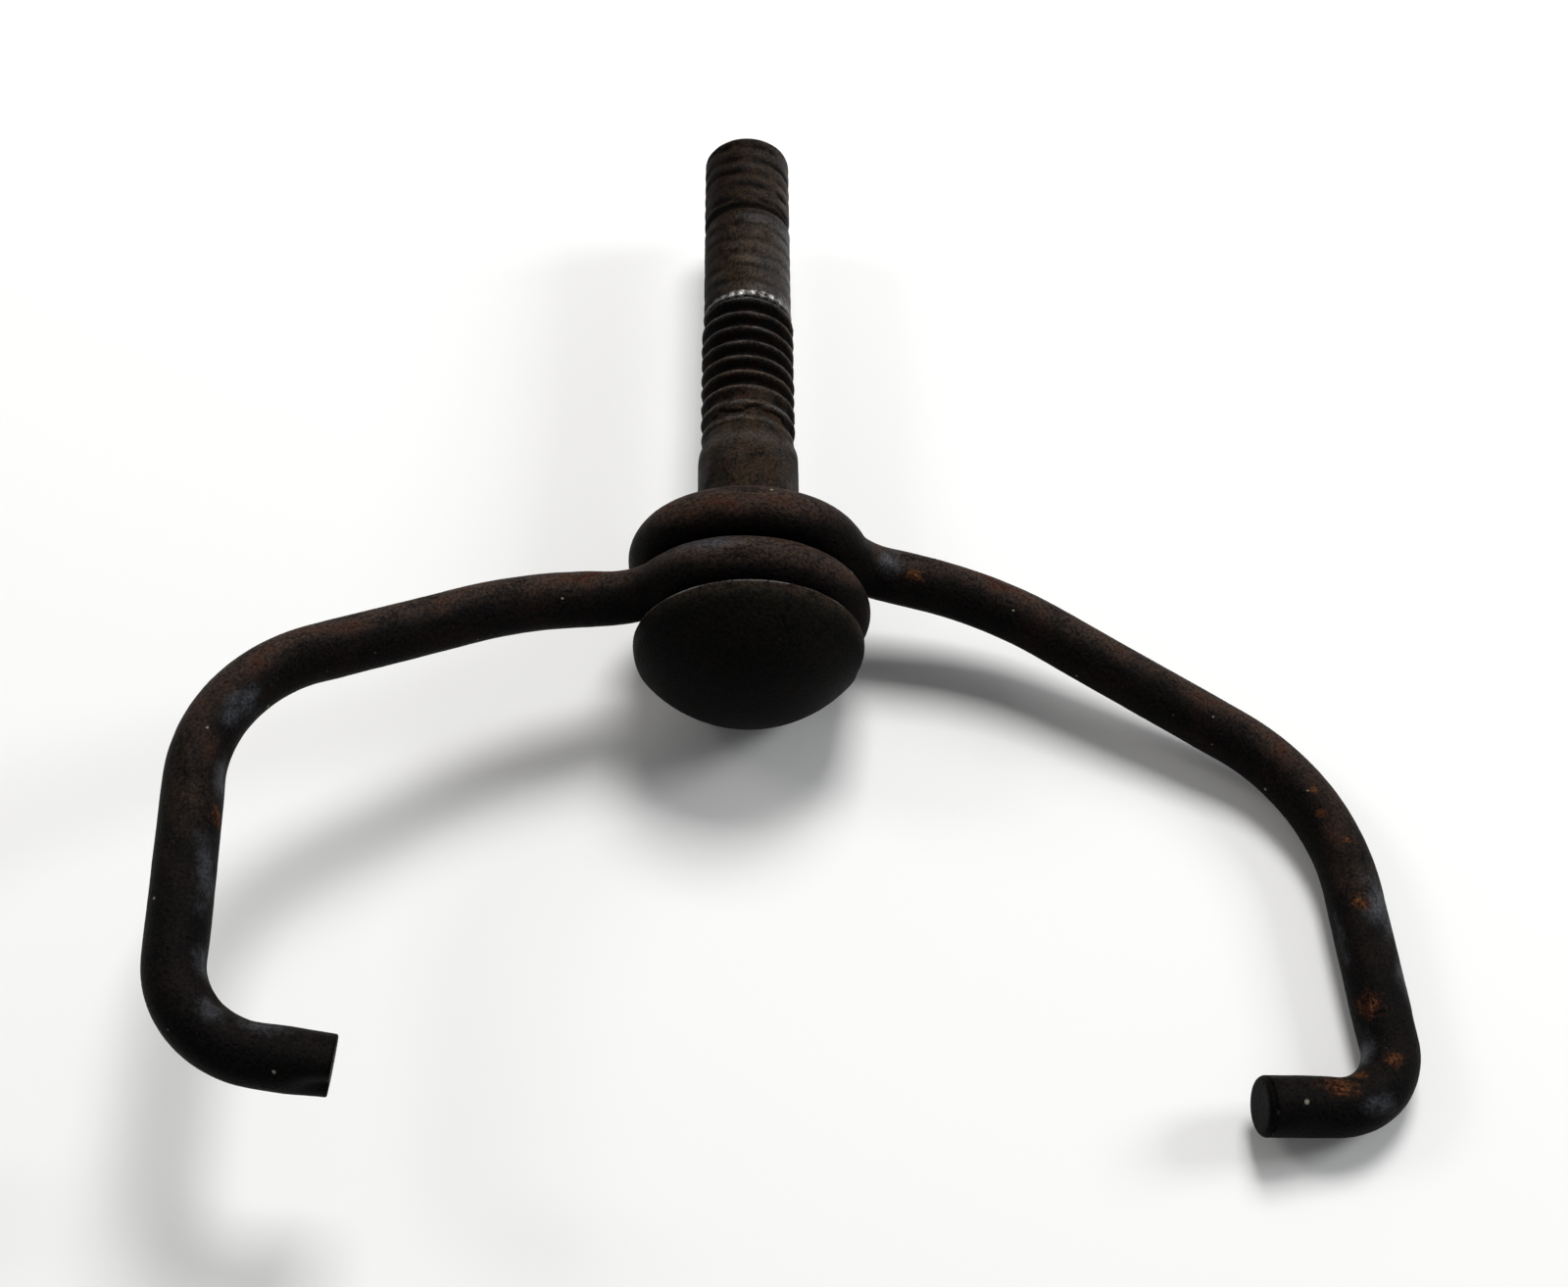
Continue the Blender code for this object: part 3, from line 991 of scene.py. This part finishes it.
@dataclass
class HookArm:
    """One hooked arm: a round rod with an eye, a neck, a reach, a leg and a hook.

    Attributes:
        side: Which way the arm reaches.
        body: The body that it rides on.
        node: The solid that it stands for.
        slot_name: The record's material slot; not used.
        eye_centre: The point on the bolt's axis in the plane of the eye.
        raised: Angle above the level at which the arm lies, in degrees.
        corners_mm: Outline corners as reach from the axis and place from the head.
        bends_mm: Bend radius at each inner corner.
        eye_place_mm: Place of the eye's plane, from the head's underside.
        end_round_mm: Rounding of the hook's cut edge.
        rust: Orange rust spots.
        sheen: Places of bluish metal: partly scuffed, partly painted sheen where the lamps catch the
            rod.
        flecks: Pale specks.
        dents: Dents pressed into the rod, each with its depth in millimetres.
        eye_drop: How far the oval eye's middle lies below the bolt's axis.
        neck_lean: How far the eye leans toward the tip where the neck leaves it.
    """

    side: Side
    body: str
    node: str
    slot_name: str
    eye_centre: Vector
    raised: float
    corners_mm: tuple[tuple[float, float], ...]
    bends_mm: tuple[float, ...]
    eye_place_mm: float
    end_round_mm: float
    rust: tuple[Patch, ...]
    sheen: tuple[Patch, ...]
    flecks: tuple[Patch, ...]
    dents: tuple[tuple[Patch, float], ...]
    rod_radius: float = 1.75 * MM
    eye_half_width: float = 5.9 * MM
    eye_half_height: float = 5.35 * MM
    eye_drop: float = -0.01 * MM
    neck_angle: float = 30.0
    eye_sweep: float = 300.0
    neck_bend: float = 3.6 * MM
    neck_lean: float = 0.2 * MM
    lean_angle: float = 60.0
    ring_step: float = 0.28 * MM
    sides: int = 48
    eye_steps: int = 100
    easing_rounds: int = 3
    hidden_end_round_mm: float = 0.15
    bend_reach: int = 4
    flat_share: float = 0.16
    flat_limit: float = 0.10

    def eye_points(self) -> list[Vector]:
        """List points round the oval eye.

        Returns:
            The points from the neck to the rod's hidden end.
        """
        points = []
        for step in range(self.eye_steps + 1):
            turned = self.eye_sweep * step / self.eye_steps
            angle = math.radians(self.neck_angle + turned)
            lean = self.neck_lean * max(0.0, 1.0 - turned / self.lean_angle) ** 2
            up = self.eye_half_height * math.sin(angle) - self.eye_drop
            points.append(Vector((self.eye_half_width * math.cos(angle), lean, up)))
        return points

    def centre_line(self) -> list[Vector]:
        """List points along the rod in the arm's own frame.

        X points outward along the arm, Y along the stud from the eye's plane, and Z up.

        Returns:
            The points from the hook's cut end to the hidden end of the eye.
        """
        eye = self.eye_points()
        leave = eye[0]
        heading = (leave - eye[1]).normalized()
        neck_corner = leave + heading * (leave.z / -heading.z)
        corners = [leave, neck_corner]
        for reach, place in self.corners_mm:
            corners.append(Vector((reach, place - self.eye_place_mm, 0.0)) * MM)
        bends = [self.neck_bend] + [bend * MM for bend in self.bends_mm]
        reach_line = rounded_path(corners, bends)
        return list(reversed(reach_line)) + eye[1:]

    def placed(self, point: Vector) -> Vector:
        """Put a point of the arm's own frame where it lies on the table.

        Args:
            point: The point in the arm's own frame.

        Returns:
            The point in the object's frame.
        """
        turn = Matrix.Rotation(-self.side.value * math.radians(self.raised), 3, "Y")
        mirrored = Vector((self.side.value * point.x, point.y, point.z))
        return self.eye_centre + turn @ mirrored

    def build(self, finish: BlackenedSteel) -> bpy.types.Object:
        """Make the rod, dress it and put it in place of its solid.

        Args:
            finish: The steel that it is dressed in.

        Returns:
            The arm's object.
        """
        even = resample(self.centre_line(), self.ring_step)
        piece = self._wrap([self.placed(point) for point in eased(even, self.easing_rounds)]).build()
        material = finish.dress_rod(self.node + "_blackened_steel", self.rust, self.sheen, self.flecks)
        piece.data.materials.append(material)
        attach(piece, self.body)
        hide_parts(self.node)
        return piece

    def _wrap(self, line: list[Vector]) -> Skin:
        """Return the rod's surface round a line, with both ends closed.

        Args:
            line: The rod's centre line where it lies, from the hook's cut end.

        Returns:
            The surface, with the straight-rod place of each point.
        """
        rings, places = [], []
        up = self.placed(Vector((0.0, 0.0, 1.0))) - self.placed(Vector())
        travelled = 0.0
        last = len(line) - 1
        for index, centre in enumerate(line):
            ahead = line[min(last, index + 1)]
            behind = line[max(0, index - 1)]
            along = (ahead - behind).normalized()
            up = (up - along * up.dot(along)).normalized()
            across = along.cross(up) * self.side.value
            bend = self._bend(line, index)
            if index:
                travelled += (centre - line[index - 1]).length
            for inset, shrink in self._end_steps(index, last):
                ring, ring_places = [], []
                for side in range(self.sides):
                    angle = math.tau * side / self.sides
                    outward = up * math.cos(angle) + across * math.sin(angle)
                    radius = self._radius(travelled, angle, outward, bend) * shrink
                    ring.append(centre + outward * radius + along * inset)
                    ring_places.append(
                        Vector((travelled + inset, radius * math.cos(angle), radius * math.sin(angle)))
                    )
                if self.side is Side.LEFT:
                    ring.reverse()
                    ring_places.reverse()
                rings.append(ring)
                places.append(ring_places)
        return Skin(self.node + "_detailed", rings, {}, {"rod_place": places})

    def _end_steps(self, index: int, last: int) -> list[tuple[float, float]]:
        """List the rings made at one point of the line: one, or several that close an end.

        Args:
            index: Number of the point.
            last: Number of the line's last point.

        Returns:
            For each ring its shift along the line and its share of the rod's radius.
        """
        if index not in (0, last):
            return [(0.0, 1.0)]
        edge = (self.end_round_mm if index == 0 else self.hidden_end_round_mm) * MM
        steps = []
        for share in range(1, 6):
            steps.append((0.0, (1.0 - edge / self.rod_radius) * share / 5.0))
        for share in range(1, 5):
            turn = math.radians(90.0) * share / 4.0
            shrink = 1.0 - edge * (1.0 - math.sin(turn)) / self.rod_radius
            steps.append((edge * (1.0 - math.cos(turn)), shrink))
        if index == last:
            steps = [(-inset, shrink) for inset, shrink in reversed(steps)]
        return steps

    def _bend(self, line: list[Vector], index: int) -> Vector:
        """Measure how the line bends at one point.

        Args:
            line: The rod's centre line.
            index: Number of the point.

        Returns:
            The curvature, which points to the inside of the bend.
        """
        reach = self.bend_reach
        if index < reach or index + reach >= len(line):
            return Vector()
        before = (line[index] - line[index - reach]).normalized()
        after = (line[index + reach] - line[index]).normalized()
        return (after - before) / (reach * self.ring_step)

    def _radius(self, travelled: float, angle: float, outward: Vector, bend: Vector) -> float:
        """Work out the rod's radius at a point: lumpy, dented, and flattened inside its bends.

        Args:
            travelled: Distance of the point from the hook's cut end.
            angle: The point's angle round the rod from its upper side.
            outward: Direction from the centre line to the point.
            bend: The line's curvature.

        Returns:
            The radius.
        """
        spot = Vector((travelled, math.cos(angle) * self.rod_radius, math.sin(angle) * self.rod_radius))
        inside = max(0.0, outward.dot(bend)) * self.rod_radius
        flat = min(self.flat_limit, self.flat_share * inside) * self.rod_radius
        dents = 0.022 * MM * (lumps(spot, 5.0) - 0.6) + 0.008 * MM * (lumps(spot, 0.9) - 0.5)
        pressed = sum(depth * MM * patch.cover(travelled, angle) for patch, depth in self.dents)
        return min(self.rod_radius, self.rod_radius + dents - flat - pressed)


def rounded_path(corners: Sequence[Vector], radii: Sequence[float]) -> list[Vector]:
    """Join corners by straight runs whose inner corners are rounded.

    Args:
        corners: Corner points, of which the first and last are the path's ends.
        radii: One bend radius for each inner corner.

    Returns:
        Points along the path.
    """
    points = [corners[0]]
    for before, corner, after, radius in zip(corners, corners[1:], corners[2:], radii):
        to_before = (before - corner).normalized()
        to_after = (after - corner).normalized()
        turn = math.pi - to_before.angle(to_after)
        start = corner + to_before * radius * math.tan(turn / 2.0)
        bisector = (to_before + to_after).normalized()
        centre = corner + bisector * (radius / math.cos(turn / 2.0))
        inward = (centre - start).normalized()
        steps = max(3, math.ceil(math.degrees(turn) / 2.0))
        for step in range(steps + 1):
            angle = turn * step / steps
            turned = to_before * math.sin(angle) * radius
            points.append(centre - turned - inward * math.cos(angle) * radius)
    points.append(corners[-1])
    return points


def resample(points: Sequence[Vector], step: float) -> list[Vector]:
    """Space points evenly along a line.

    Args:
        points: The line.
        step: About how far apart the new points are.

    Returns:
        The new points, with both of the line's ends kept.
    """
    lengths = [0.0]
    for before, after in zip(points, points[1:]):
        lengths.append(lengths[-1] + (after - before).length)
    count = max(2, round(lengths[-1] / step))
    even = []
    index = 0
    for number in range(count + 1):
        target = lengths[-1] * number / count
        while index < len(points) - 2 and lengths[index + 1] < target:
            index += 1
        span = max(1e-12, lengths[index + 1] - lengths[index])
        even.append(points[index].lerp(points[index + 1], (target - lengths[index]) / span))
    return even


def eased(points: list[Vector], rounds: int) -> list[Vector]:
    """Ease a line's changes of curvature.

    Args:
        points: The line.
        rounds: How many times each point is drawn toward its neighbours.

    Returns:
        The eased line, with its ends kept.
    """
    for _ in range(rounds):
        middle = [
            before * 0.25 + here * 0.5 + after * 0.25
            for before, here, after in zip(points, points[1:], points[2:])
        ]
        points = [points[0], *middle, points[-1]]
    return points


# --------------------------------------------------------------------------------------
# Table, light and camera
# --------------------------------------------------------------------------------------


@dataclass(frozen=True)
class SoftBox:
    """A square studio light that faces a point.

    Attributes:
        name: The light's name.
        direction: From the object toward the light.
        distance: Distance from the object.
        size: Length of its sides.
        power: Radiant power in watts.
        colour: Colour of its light.
    """

    name: str
    direction: tuple[float, float, float]
    distance: float
    size: float
    power: float
    colour: Colour = (1.0, 1.0, 1.0)

    def hang(self, target: Vector) -> None:
        """Put the light in the scene.

        Args:
            target: The point that it faces.
        """
        data = bpy.data.lights.new(self.name, "AREA")
        data.size = self.size
        data.energy = self.power
        data.color = self.colour
        lamp = bpy.data.objects.new(self.name, data)
        away = Vector(self.direction).normalized()
        lamp.location = target + away * self.distance
        lamp.rotation_euler = away.to_track_quat("Z", "Y").to_euler()
        bpy.context.scene.collection.objects.link(lamp)


@dataclass
class Studio:
    """The plain pale table, the lights and the camera.

    Attributes:
        target: The point on the object that the lights face.
        camera_offset_mm: The camera's place from the target.
        camera_drop: How steeply the camera looks down, in degrees.
        camera_turn: How far it turns to the right, in degrees.
        camera_roll: How far it rolls, in degrees.
        lens_mm: Focal length.
        table_size: Length of the table's sides.
        table_colour: Colour of the table.
        fill_colour: Colour of the light from all round.
        fill: Strength of the light from all round.
    """

    target: Vector
    camera_offset_mm: tuple[float, float, float] = (0.43, -72.85, 111.49)
    camera_drop: float = 56.83
    camera_turn: float = 1.37
    camera_roll: float = 0.79
    lens_mm: float = 49.44
    table_size: float = 3.0
    table_colour: Colour = (0.86, 0.855, 0.84)
    fill_colour: Colour = (0.97, 0.98, 1.0)
    fill: float = 0.22

    def lay_table(self) -> None:
        """Make the table top, with its upper face at floor level."""
        half = self.table_size / 2.0
        mesh = bpy.data.meshes.new("table")
        corners = [(-half, -half, 0.0), (half, -half, 0.0), (half, half, 0.0), (-half, half, 0.0)]
        mesh.from_pydata(corners, [], [(0, 1, 2, 3)])
        graph = Graph("pale_table")
        surface = {"Base Color": (*self.table_colour, 1.0), "Roughness": 0.7, "Specular IOR Level": 0.2}
        mesh.materials.append(graph.finish(surface))
        table = bpy.data.objects.new("table", mesh)
        bpy.context.scene.collection.objects.link(table)

    def light(self) -> None:
        """Light the table from three sides and fill the rest softly."""
        boxes = (
            SoftBox("left_softbox", (-1.0, 0.40, 0.85), 0.50, 0.14, 0.43, (1.0, 0.985, 0.96)),
            SoftBox("back_softbox", (0.15, 0.62, 1.0), 0.55, 0.20, 2.45),
            SoftBox("right_softbox", (1.0, 0.20, 0.60), 0.50, 0.16, 1.00, (0.96, 0.98, 1.0)),
        )
        for box in boxes:
            box.hang(self.target)
        world = bpy.data.worlds.new("studio_fill")
        world.use_nodes = True
        backdrop = world.node_tree.nodes["Background"]
        backdrop.inputs["Color"].default_value = (*self.fill_colour, 1.0)
        backdrop.inputs["Strength"].default_value = self.fill
        bpy.context.scene.world = world
        bpy.context.scene.view_settings.view_transform = "Standard"

    def set_camera(self) -> None:
        """Make the camera and point it down at the bolt."""
        data = bpy.data.cameras.new("camera")
        data.lens = self.lens_mm
        data.clip_start = 0.005
        camera = bpy.data.objects.new("camera", data)
        tilt = Matrix.Rotation(math.radians(90.0 - self.camera_drop), 4, "X")
        turn = Matrix.Rotation(math.radians(-self.camera_turn), 4, "Z")
        roll = Matrix.Rotation(math.radians(self.camera_roll), 4, "Z")
        place = Matrix.Translation(self.target + Vector(self.camera_offset_mm) * MM)
        camera.matrix_world = place @ turn @ tilt @ roll
        bpy.context.scene.collection.objects.link(camera)
        bpy.context.scene.camera = camera


# --------------------------------------------------------------------------------------
# The object
# --------------------------------------------------------------------------------------


@dataclass
class ClampBolt:
    """The whole object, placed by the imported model's mount at the stud's tip."""

    finish: BlackenedSteel = BlackenedSteel()

    def head_centre(self) -> Vector:
        """Find the bolt's reference point from the mount at the stud's tip.

        Returns:
            The point on the bolt's axis at the underside of its head.
        """
        mounts = {mount["name"]: mount for mount in frame["record"]["mounts"]}
        tip = Vector(mounts["stud_end"]["pos_m"])
        return tip - Vector((0.0, DomeHeadBolt.length, 0.0))

    def arms(self, head: Vector) -> list[HookArm]:
        """Describe the two arms.

        Args:
            head: The point on the bolt's axis at the underside of its head.

        Returns:
            The two arms, left first.
        """
        left = HookArm(
            side=Side.LEFT,
            body="left_arm",
            node="left_hook_arm",
            slot_name="left_arm_steel",
            eye_centre=head + Vector((0.0, 2.2 * MM, 0.0)),
            raised=12.0,
            corners_mm=((14.5, 1.1), (31.9, -6.7), (31.0, -28.6), (22.4, -29.4)),
            bends_mm=(30.0, 9.8, 5.4),
            eye_place_mm=2.2,
            end_round_mm=0.12,
            # Painted sheen, set where the lamps catch the rod.
            sheen=(
                Patch(27.4, -40.0, 1.25, 2.2),
                Patch(22.4, -58.0, 0.8, 2.6),
                Patch(16.0, -48.0, 1.25, 3.2),
                Patch(11.0, -54.0, 1.0, 2.0),
                Patch(7.3, -22.0, 1.1, 1.5),
                Patch(4.0, -38.0, 0.8, 2.4),
                Patch(60.0, 30.0, 1.1, 3.0),
            ),
            rust=(Patch(19.6, -58.0, 0.60, 1.3),),
            flecks=(
                Patch(14.5, 50.0, 0.12),
                Patch(24.9, -5.0, 0.10),
                Patch(2.8, 45.0, 0.14),
                Patch(7.9, 62.0, 0.07),
            ),
            dents=(
                (Patch(0.0, 80.0, 1.8, 1.5), 0.75),
                (Patch(7.6, -48.0, 1.0, 1.3), 0.22),
                (Patch(24.0, -70.0, 0.9), 0.10),
                (Patch(40.0, 10.0, 1.4, 3.0), 0.10),
                (Patch(54.0, 60.0, 1.4, 3.0), 0.10),
            ),
        )
        right = HookArm(
            side=Side.RIGHT,
            body="right_arm",
            node="right_hook_arm",
            slot_name="right_arm_steel",
            eye_centre=head + Vector((0.0, 6.02 * MM, 0.0)),
            raised=-8.4,
            corners_mm=((15.7, 4.7), (36.4, -7.8), (37.6, -28.3), (29.0, -28.6)),
            bends_mm=(25.0, 13.3, 3.9),
            eye_place_mm=6.02,
            end_round_mm=0.34,
            rust=(
                Patch(55.6, -25.0, 0.60, 1.4),
                Patch(19.0, -15.0, 0.75),
                Patch(12.6, -48.0, 1.15),
                Patch(8.9, -10.0, 0.75),
                Patch(25.4, -25.0, 0.45),
                Patch(27.0, -10.0, 0.35),
                Patch(23.2, -5.0, 0.35),
                Patch(6.4, -50.0, 0.7),
                Patch(4.2, -20.0, 1.1, 1.4),
            ),
            # Painted sheen, set where the lamps catch the rod.
            sheen=(
                Patch(19.0, 24.0, 1.40, 2.2),
                Patch(14.2, 42.0, 0.95, 1.8),
                Patch(17.0, -72.0, 0.7, 3.4),
                Patch(9.5, -78.0, 1.2, 2.2),
                Patch(6.4, 35.0, 1.1, 1.2),
                Patch(57.6, -6.0, 1.5, 1.5),
            ),
            flecks=(
                Patch(2.1, 12.0, 0.18),
                Patch(9.6, -28.0, 0.10),
                Patch(34.7, -20.0, 0.08),
                Patch(27.1, -20.0, 0.09),
            ),
            dents=(
                (Patch(3.0, 70.0, 1.2, 1.5), 0.12),
                (Patch(11.5, 75.0, 1.0, 1.5), 0.10),
                (Patch(17.0, 20.0, 1.2, 1.5), 0.08),
                (Patch(44.0, 20.0, 1.4, 3.0), 0.10),
            ),
        )
        return [left, right]

    def build(self) -> Vector:
        """Make every piece.

        Returns:
            The point on the bolt's axis at the underside of its head.
        """
        head = self.head_centre()
        bolt = DomeHeadBolt(origin=head)
        LOG.info("built %s", bolt.build(self.finish).name)
        for arm in self.arms(head):
            LOG.info("built %s", arm.build(self.finish).name)
        return head


def main() -> None:
    """Build the object, the table, the lights and the camera."""
    logging.basicConfig(level=logging.INFO, format="%(name)s: %(message)s")
    head = ClampBolt().build()
    studio = Studio(target=head)
    studio.lay_table()
    studio.light()
    studio.set_camera()


if __name__ == "__main__":
    main()
